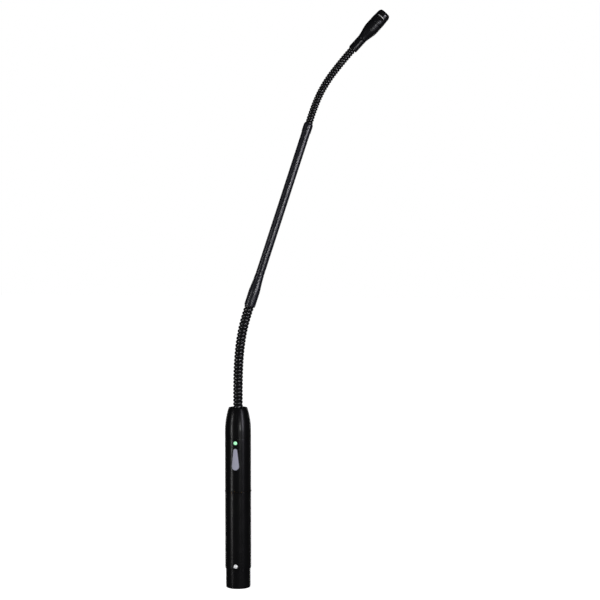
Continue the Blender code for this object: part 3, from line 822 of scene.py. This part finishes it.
def build_hose(name, start, end, sizes):
    """One flexible stretch: a length of wound hose and of signal lead for every pivot."""
    joints, pivots, halves, step = flexible_stretch(name, start, end)
    pitch, ridge, groove = (getattr(sizes, f"{name}_{size}") for size in ("pitch", "ridge", "groove"))
    length = step * len(joints) + 2 * HOSE_PLUNGE
    skin = straight_hose(f"{name}_skin", length, pitch, ridge, groove, sizes)
    insulation = lead_insulation("grey_pvc", "#2A2A2C", "#3A3A3D")
    for index, joint in enumerate(joints):
        base, head = index * step, (index + 1) * step
        bottom = base - HOSE_PLUNGE if index == 0 else base
        top = head + HOSE_PLUNGE if index == len(joints) - 1 else head
        arc = (base, step, halves[index], pivots[index], halves[index + 1])

        hose = cut_length(skin, bottom, top, groove - HOSE_WALL, f"{name}_hose_{index + 1}",
                          hose_lacquer())
        bend_to_arc(hose, *arc)
        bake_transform(hose)
        nodes = [f"{name}_neck_link_{index + 1}" if index < len(joints) - 1 else f"{name}_neck_tip"]
        if index == 0:
            nodes.append(f"{name}_neck_root")
        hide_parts(*nodes)

        outline = [(0, top, 0), (LEAD_RADIUS, top, 0)]
        outline += [(LEAD_RADIUS, bottom + (top - bottom) * part / 4, 0) for part in (3, 2, 1, 0)]
        lead = turn(f"{name}_signal_lead_{index + 1}", outline + [(0, bottom, 0)], insulation,
                    closed=False, steps=12, place=Matrix.Identity(4), crisp=False)
        bend_to_arc(lead, *arc)
        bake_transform(lead)
        if index == 0:
            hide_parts(f"{name}_neck_lead")
    discard(skin)


def placed(origin, direction):
    """The matrix that carries a piece made along Z to an origin and a direction.

    The piece's Y becomes the normal of the plane that the neck curves in.
    """
    across = across_direction()
    turned = Matrix((across.cross(direction), across, direction)).transposed().to_4x4()
    return Matrix.Translation(origin) @ turned


def build_stem():
    """Stem: bottom ferrule with its cone, the drawn tube, and the top cuff."""
    direction = stem_direction()
    _, _, lower_halves, _ = flexible_stretch("lower", Vector((0, 0, 1)), direction)
    _, _, upper_halves, _ = flexible_stretch("upper", direction, head_direction())
    foot, top = lower_halves[-1], upper_halves[0]
    length = (top - foot).length
    place = placed(foot, direction)
    nickel = black_nickel()
    bore = 2.4 * MM

    outline = [(TUBE_RADIUS + 0.02 * MM, 26.6 * MM, 0), mm(3.36, 25.9, 0.3), mm(3.46, 22.0, 1.2),
               mm(4.16, 14.3, 1.0), mm(4.16, 3.3, 0.4), mm(4.02, 2.5, 0.2), mm(3.66, 2.5, 0.1),
               mm(3.66, 5, 0), mm(2.5, 6, 0), mm(2.5, 26.6, 0)]
    ferrule = turn("stem_bottom_ferrule", outline, nickel, steps=64, place=place)
    finish_piece(ferrule, "stem", "stem_black", "stem_lower_ferrule")

    cuff = length - 7.0 * MM
    outline = [(TUBE_RADIUS, cuff, 0), (TUBE_RADIUS, 26 * MM, 0), (bore, 26 * MM, 0), (bore, cuff, 0)]
    pipe = turn("stem_drawn_tube", outline, nickel, steps=64, place=place)
    finish_piece(pipe, "stem", "stem_black", "stem_tube")

    outline = [(2.95 * MM, length, 0.2 * MM), (3.45 * MM, length - 1.1 * MM, 0.35 * MM),
               (3.45 * MM, cuff, 0.25 * MM), (TUBE_RADIUS - 0.1 * MM, cuff, 0.05 * MM),
               (2.5 * MM, cuff + 1 * MM, 0), (2.75 * MM, length - 4 * MM, 0),
               (2.75 * MM, length, 0.1 * MM)]
    collar = turn("stem_top_cuff", outline, nickel, steps=64, place=place)
    finish_piece(collar, "stem", "stem_black", "stem_upper_ferrule")


# ---------------------------------------------------------------- head


def port_ring(name, levels, ports, steps, material, place):
    """A tube through levels of (radius, height, open), with two ports cut where a level is open.

    ports is the direction of the first port and the angle that each takes.
    """
    start, angle = ports
    half = steps // 2
    width = round(steps * angle / (2 * math.pi))
    cage = bmesh.new()
    join_rings(cage, [circle(cage, radius, height, steps, start) for radius, height, _ in levels],
               lambda level, side: levels[level][2] and (side + width // 2) % half < width)
    ring = from_cage(name, cage, material)
    add_stack(ring, ('SOLIDIFY', {"thickness": 0.75 * MM, "offset": -1.0, "use_even_offset": True}))
    settle(soften(ring, 0.1 * MM, angle=50))
    ring.data.transform(place)
    return ring


def weave(name, cage, wire, material, place):
    """A piece of wire cloth with a wire along each edge of a cage."""
    cloth = from_cage(name, cage, material)
    add_stack(cloth, ('WIREFRAME', {"thickness": wire, "use_even_offset": False, "use_boundary": True}))
    settle(cloth)
    cloth.data.transform(place)
    return cloth


def wire_screen(name, radius, crown, height, pitch, wire, material, place):
    """A round piece of wire cloth, slightly crowned, made from a square grid."""
    cage = bmesh.new()
    count = 2 * math.ceil(radius / pitch)
    bmesh.ops.create_grid(cage, x_segments=count, y_segments=count, size=0.5 * count * pitch)
    outside = [vert for vert in cage.verts if vert.co.length > radius]
    bmesh.ops.delete(cage, geom=outside, context='VERTS')
    for vert in cage.verts:
        share = vert.co.length / radius
        vert.co.z = height + crown * (1 - share ** 2)
    screen = weave(name, cage, wire, material, place)
    screen.data.shade_smooth()
    return screen


def port_cloth(name, radius, low, high, pitch, wire, material, place):
    """A band of wire cloth that backs the side ports."""
    cage = bmesh.new()
    steps = round(2 * math.pi * radius / pitch)
    bands = max(2, round((high - low) / pitch))
    join_rings(cage, [circle(cage, radius, low + (high - low) * band / bands, steps)
                      for band in range(bands + 1)])
    return weave(name, cage, wire, material, place)


def build_head(sizes):
    """Head: collar, flared shell, ported ring, front cap, screens and the capsule's keeper."""
    direction = head_direction()
    _, _, halves, _ = flexible_stretch("upper", stem_direction(), direction)
    place = placed(halves[-1], direction)
    black = anodised_black()
    collar_top = 9.4 * MM
    flare_top = 20.6 * MM
    shell_top = 24.9 * MM

    outline = [(3.38 * MM, collar_top, 0.12 * MM), mm(3.38, 0.05, 0.14),
               mm(2.78, 0.05, 0.1), (2.75 * MM, collar_top, 0)]
    collar = turn("head_collar_ring", outline, black, steps=64, place=place)
    finish_piece(collar, "head", "head_black", "head_collar")

    spigot = 4.4 * MM
    outline = [(spigot, shell_top + 1.6 * MM, 0), (spigot, shell_top, 0),
               (HEAD_RADIUS, shell_top, 0.2 * MM)]
    for step in range(13):
        part = 1.0 - step / 12
        ease = part * part * (3 - 2 * part)
        outline.append((3.4 * MM + (HEAD_RADIUS - 3.4 * MM) * ease,
                        collar_top + sizes.seam + (flare_top - collar_top) * part, 0))
    outline += [(2.3 * MM, outline[-1][1], 0), mm(2.3, 15, 0), mm(3.9, 20.5, 0),
                (3.9 * MM, shell_top + 1.6 * MM, 0)]
    shell = turn("head_flared_shell", outline, black, steps=72, place=place)
    finish_piece(shell, "head", "head_black", "head_shell")

    ring_start = shell_top + 0.3 * MM
    levels = [(HEAD_RADIUS - 0.12 * MM, ring_start, False),
              (HEAD_RADIUS, ring_start + 0.25 * MM, False),
              (HEAD_RADIUS, 27.2 * MM, False), (5.12 * MM, 28.5 * MM, True),
              (5.05 * MM, 29.9 * MM, True), (4.96 * MM, 31.3 * MM, False),
              (4.88 * MM, CAP_START - 0.12 * MM, False)]
    ports = (math.radians(-98), math.radians(65))
    ring = port_ring("head_ported_ring", levels, ports, 96, black, place)
    finish_piece(ring, "head", "head_black", "cartridge_housing")

    outline = [(3.3 * MM, HEAD_LENGTH - 0.15 * MM, 0.12 * MM), (3.55 * MM, HEAD_LENGTH, 0.15 * MM),
               (4.05 * MM, HEAD_LENGTH - 0.35 * MM, 0.3 * MM),
               (4.6 * MM, HEAD_LENGTH - 1.25 * MM, 0.5 * MM),
               (4.86 * MM, CAP_START + 0.3 * MM, 0.3 * MM), (4.86 * MM, CAP_START, 0.12 * MM),
               (4.05 * MM, CAP_START, 0), (3.35 * MM, HEAD_LENGTH - 1.3 * MM, 0.1 * MM)]
    cap = turn("head_front_cap", outline, polished_black(), steps=72, place=place)
    finish_piece(cap, "head", "head_black", "front_cap")

    screen = wire_screen("head_front_screen", 3.85 * MM, 0.5 * MM, CAP_START - 0.2 * MM,
                         sizes.mesh_pitch, sizes.wire, screen_wire(), place)
    finish_piece(screen, "head", "screen_silver", "grille_screen")
    cloth = port_cloth("head_port_cloth", 4.05 * MM, 27.9 * MM, 31.5 * MM, 0.42 * MM, 0.15 * MM,
                       black_screen_wire(), place)
    finish_piece(cloth, "head", "screen_silver")

    outline = [mm(4.76, 31.5, 0.05), mm(4.82, 30.75, 0.12), mm(4.3, 30.75, 0.05), mm(4.3, 31.5, 0.05)]
    keeper = turn("head_capsule_keeper", outline, satin_nickel(), steps=72, place=place)
    finish_piece(keeper, "head", "screen_silver")


# ---------------------------------------------------------------- stage


def view_azimuth():
    """The camera's bearing, square to the plane that the neck curves in."""
    across = across_direction()
    return math.atan2(-across.x, across.y)


def softbox(name, bearing, distance, low, high, width, power, colour, mirrored=True):
    """A tall soft light. bearing is its angle from the camera's side, positive to the right.

    A light that isn't mirrored brightens the pale pieces and leaves no streak on the black ones.
    """
    light = bpy.data.lights.new(name, 'AREA')
    light.shape = 'RECTANGLE'
    light.size = width
    light.size_y = high - low
    light.energy = power
    light.color = linear(colour)
    lamp = bpy.data.objects.new(name, light)
    lamp.visible_glossy = mirrored
    bpy.context.scene.collection.objects.link(lamp)
    angle = view_azimuth() + math.radians(bearing) - math.radians(90)
    height = 0.5 * (low + high)
    lamp.location = (distance * math.cos(angle), distance * math.sin(angle), height)
    aim = Vector((0, 0, height)) - lamp.location
    lamp.rotation_euler = aim.to_track_quat('-Z', 'Y').to_euler()
    return lamp


def build_stage():
    """Pale floor and backdrop, soft studio lights, and the camera."""
    scene = bpy.context.scene
    scene.view_settings.view_transform = 'Standard'

    world = bpy.data.worlds.new("studio")
    scene.world = world
    world.use_nodes = True
    tree = world.node_tree
    tree.nodes.clear()
    seen = add_node(tree, 'ShaderNodeLightPath').outputs["Is Camera Ray"]
    backdrop = add_node(tree, 'ShaderNodeBackground', {"Color": (1, 1, 1, 1), "Strength": 1.0})
    room = add_node(tree, 'ShaderNodeBackground', {"Color": (0.95, 0.97, 1.0, 1), "Strength": 0.02})
    either = add_node(tree, 'ShaderNodeMixShader',
                      links={0: seen, 1: room.outputs["Background"], 2: backdrop.outputs["Background"]})
    add_node(tree, 'ShaderNodeOutputWorld', links={"Surface": either.outputs["Shader"]})

    cage = bmesh.new()
    bmesh.ops.create_grid(cage, x_segments=1, y_segments=1, size=4.0)
    bmesh.ops.translate(cage, vec=(0, 0, -0.3 * MM), verts=cage.verts)
    paper = bpy.data.materials.new("white_paper_floor")
    paper.use_nodes = True
    shader = paper.node_tree.nodes["Principled BSDF"]
    for socket, value in (("Base Color", (0.9, 0.9, 0.9, 1)), ("Roughness", 0.9),
                          ("Emission Color", (1, 1, 1, 1)), ("Emission Strength", 1.0)):
        shader.inputs[socket].default_value = value
    floor = from_cage("studio_floor", cage, paper)
    floor.visible_glossy = False
    floor.visible_diffuse = False
    floor.visible_shadow = False

    softbox("left_strip", -55, 1.1, -0.17, 0.42, 0.08, 1.8, "#FFFFFF")
    softbox("right_bank", 46, 1.2, 0.02, 0.60, 0.22, 3.0, "#F4F2FF")
    softbox("head_streak", 20, 1.3, 0.07, 0.20, 0.10, 1.3, "#FFFFFF")
    softbox("rear_left", -150, 1.3, -0.35, 0.65, 0.10, 1.3, "#FFFFFF")
    softbox("rear_right", 150, 1.3, -0.35, 0.65, 0.10, 1.3, "#FFFFFF")
    softbox("front_fill", 8, 1.4, 0.0, 0.6, 0.6, 16, "#FFFFFF", mirrored=False)

    camera = bpy.data.cameras.new("studio_camera")
    camera.lens = 97.0
    camera.sensor_width = 36.0
    camera.clip_start = 0.01
    eye = bpy.data.objects.new("studio_camera", camera)
    scene.collection.objects.link(eye)
    azimuth = view_azimuth()
    aside, distance, height, dip = 0.04572, 1.1853, 0.27685, 3.1
    right = Vector((math.cos(azimuth), math.sin(azimuth), 0))
    towards = Vector((math.sin(azimuth), -math.cos(azimuth), 0))
    eye.location = right * aside + towards * distance + Vector((0, 0, height))
    eye.rotation_euler = (math.radians(90 - dip), 0, azimuth)
    scene.camera = eye


# ---------------------------------------------------------------- operators


class MIC_OT_plug(bpy.types.Operator):
    """Build the XLR plug: barrel, insert, pins and screw"""

    bl_idname = "mic.plug"
    bl_label = "XLR plug"

    def execute(self, context):
        build_plug(context.scene.mic_sizes)
        return {'FINISHED'}


class MIC_OT_sleeves(bpy.types.Operator):
    """Build the two body sleeves and the seam ring"""

    bl_idname = "mic.sleeves"
    bl_label = "Body sleeves"

    def execute(self, context):
        build_sleeves(context.scene.mic_sizes)
        return {'FINISHED'}


class MIC_OT_nose(bpy.types.Operator):
    """Build the tapered nose cap"""

    bl_idname = "mic.nose"
    bl_label = "Nose cap"

    def execute(self, context):
        build_nose(context.scene.mic_sizes)
        return {'FINISHED'}


class MIC_OT_button(bpy.types.Operator):
    """Build the mute button"""

    bl_idname = "mic.button"
    bl_label = "Mute button"

    def execute(self, context):
        build_button()
        return {'FINISHED'}


class MIC_OT_light(bpy.types.Operator):
    """Build the status light"""

    bl_idname = "mic.light"
    bl_label = "Status light"

    def execute(self, context):
        build_light()
        return {'FINISHED'}


class MIC_OT_hidden(bpy.types.Operator):
    """Finish the pieces inside the body and the head"""

    bl_idname = "mic.hidden"
    bl_label = "Hidden parts"

    def execute(self, context):
        finish_hidden_parts()
        return {'FINISHED'}


class MIC_OT_hoses(bpy.types.Operator):
    """Wind the lower and upper hoses and run the signal lead through them"""

    bl_idname = "mic.hoses"
    bl_label = "Flexible hoses"

    def execute(self, context):
        sizes = context.scene.mic_sizes
        stem, head = stem_direction(), head_direction()
        build_hose("lower", Vector((0, 0, 1)), stem, sizes)
        build_hose("upper", stem, head, sizes)
        return {'FINISHED'}


class MIC_OT_stem(bpy.types.Operator):
    """Build the stem with its ferrule and cuff"""

    bl_idname = "mic.stem"
    bl_label = "Stem"

    def execute(self, context):
        build_stem()
        return {'FINISHED'}


class MIC_OT_head(bpy.types.Operator):
    """Build the head and its screens"""

    bl_idname = "mic.head"
    bl_label = "Head"

    def execute(self, context):
        build_head(context.scene.mic_sizes)
        return {'FINISHED'}


class MIC_OT_stage(bpy.types.Operator):
    """Set up the floor, the lights and the camera"""

    bl_idname = "mic.stage"
    bl_label = "Stage"

    def execute(self, context):
        build_stage()
        return {'FINISHED'}


OPERATORS = (MIC_OT_plug, MIC_OT_sleeves, MIC_OT_nose, MIC_OT_button, MIC_OT_light, MIC_OT_hidden,
             MIC_OT_hoses, MIC_OT_stem, MIC_OT_head, MIC_OT_stage)


class MIC_PT_panel(bpy.types.Panel):
    """Lists the microphone's pieces"""

    bl_idname = "MIC_PT_panel"
    bl_label = "Microphone"
    bl_space_type = 'VIEW_3D'
    bl_region_type = 'UI'
    bl_category = "Microphone"

    def draw(self, context):
        for operator in OPERATORS:
            self.layout.operator(operator.bl_idname)
        for group in (context.scene.mic_sizes, context.scene.mic_colours):
            box = self.layout.box()
            for name in group.__annotations__:
                box.prop(group, name)


CLASSES = (MicSizes, MicColours, *OPERATORS, MIC_PT_panel)


def register():
    for entry in CLASSES:
        bpy.utils.register_class(entry)
    bpy.types.Scene.mic_sizes = PointerProperty(type=MicSizes)
    bpy.types.Scene.mic_colours = PointerProperty(type=MicColours)


def unregister():
    del bpy.types.Scene.mic_colours
    del bpy.types.Scene.mic_sizes
    for entry in reversed(CLASSES):
        bpy.utils.unregister_class(entry)


def main():
    """Build every piece in order."""
    register()
    bpy.ops.mic.plug()
    bpy.ops.mic.sleeves()
    bpy.ops.mic.nose()
    bpy.ops.mic.button()
    bpy.ops.mic.light()
    bpy.ops.mic.hidden()
    bpy.ops.mic.hoses()
    bpy.ops.mic.stem()
    bpy.ops.mic.head()
    bpy.ops.mic.stage()


if __name__ == "__main__":
    main()
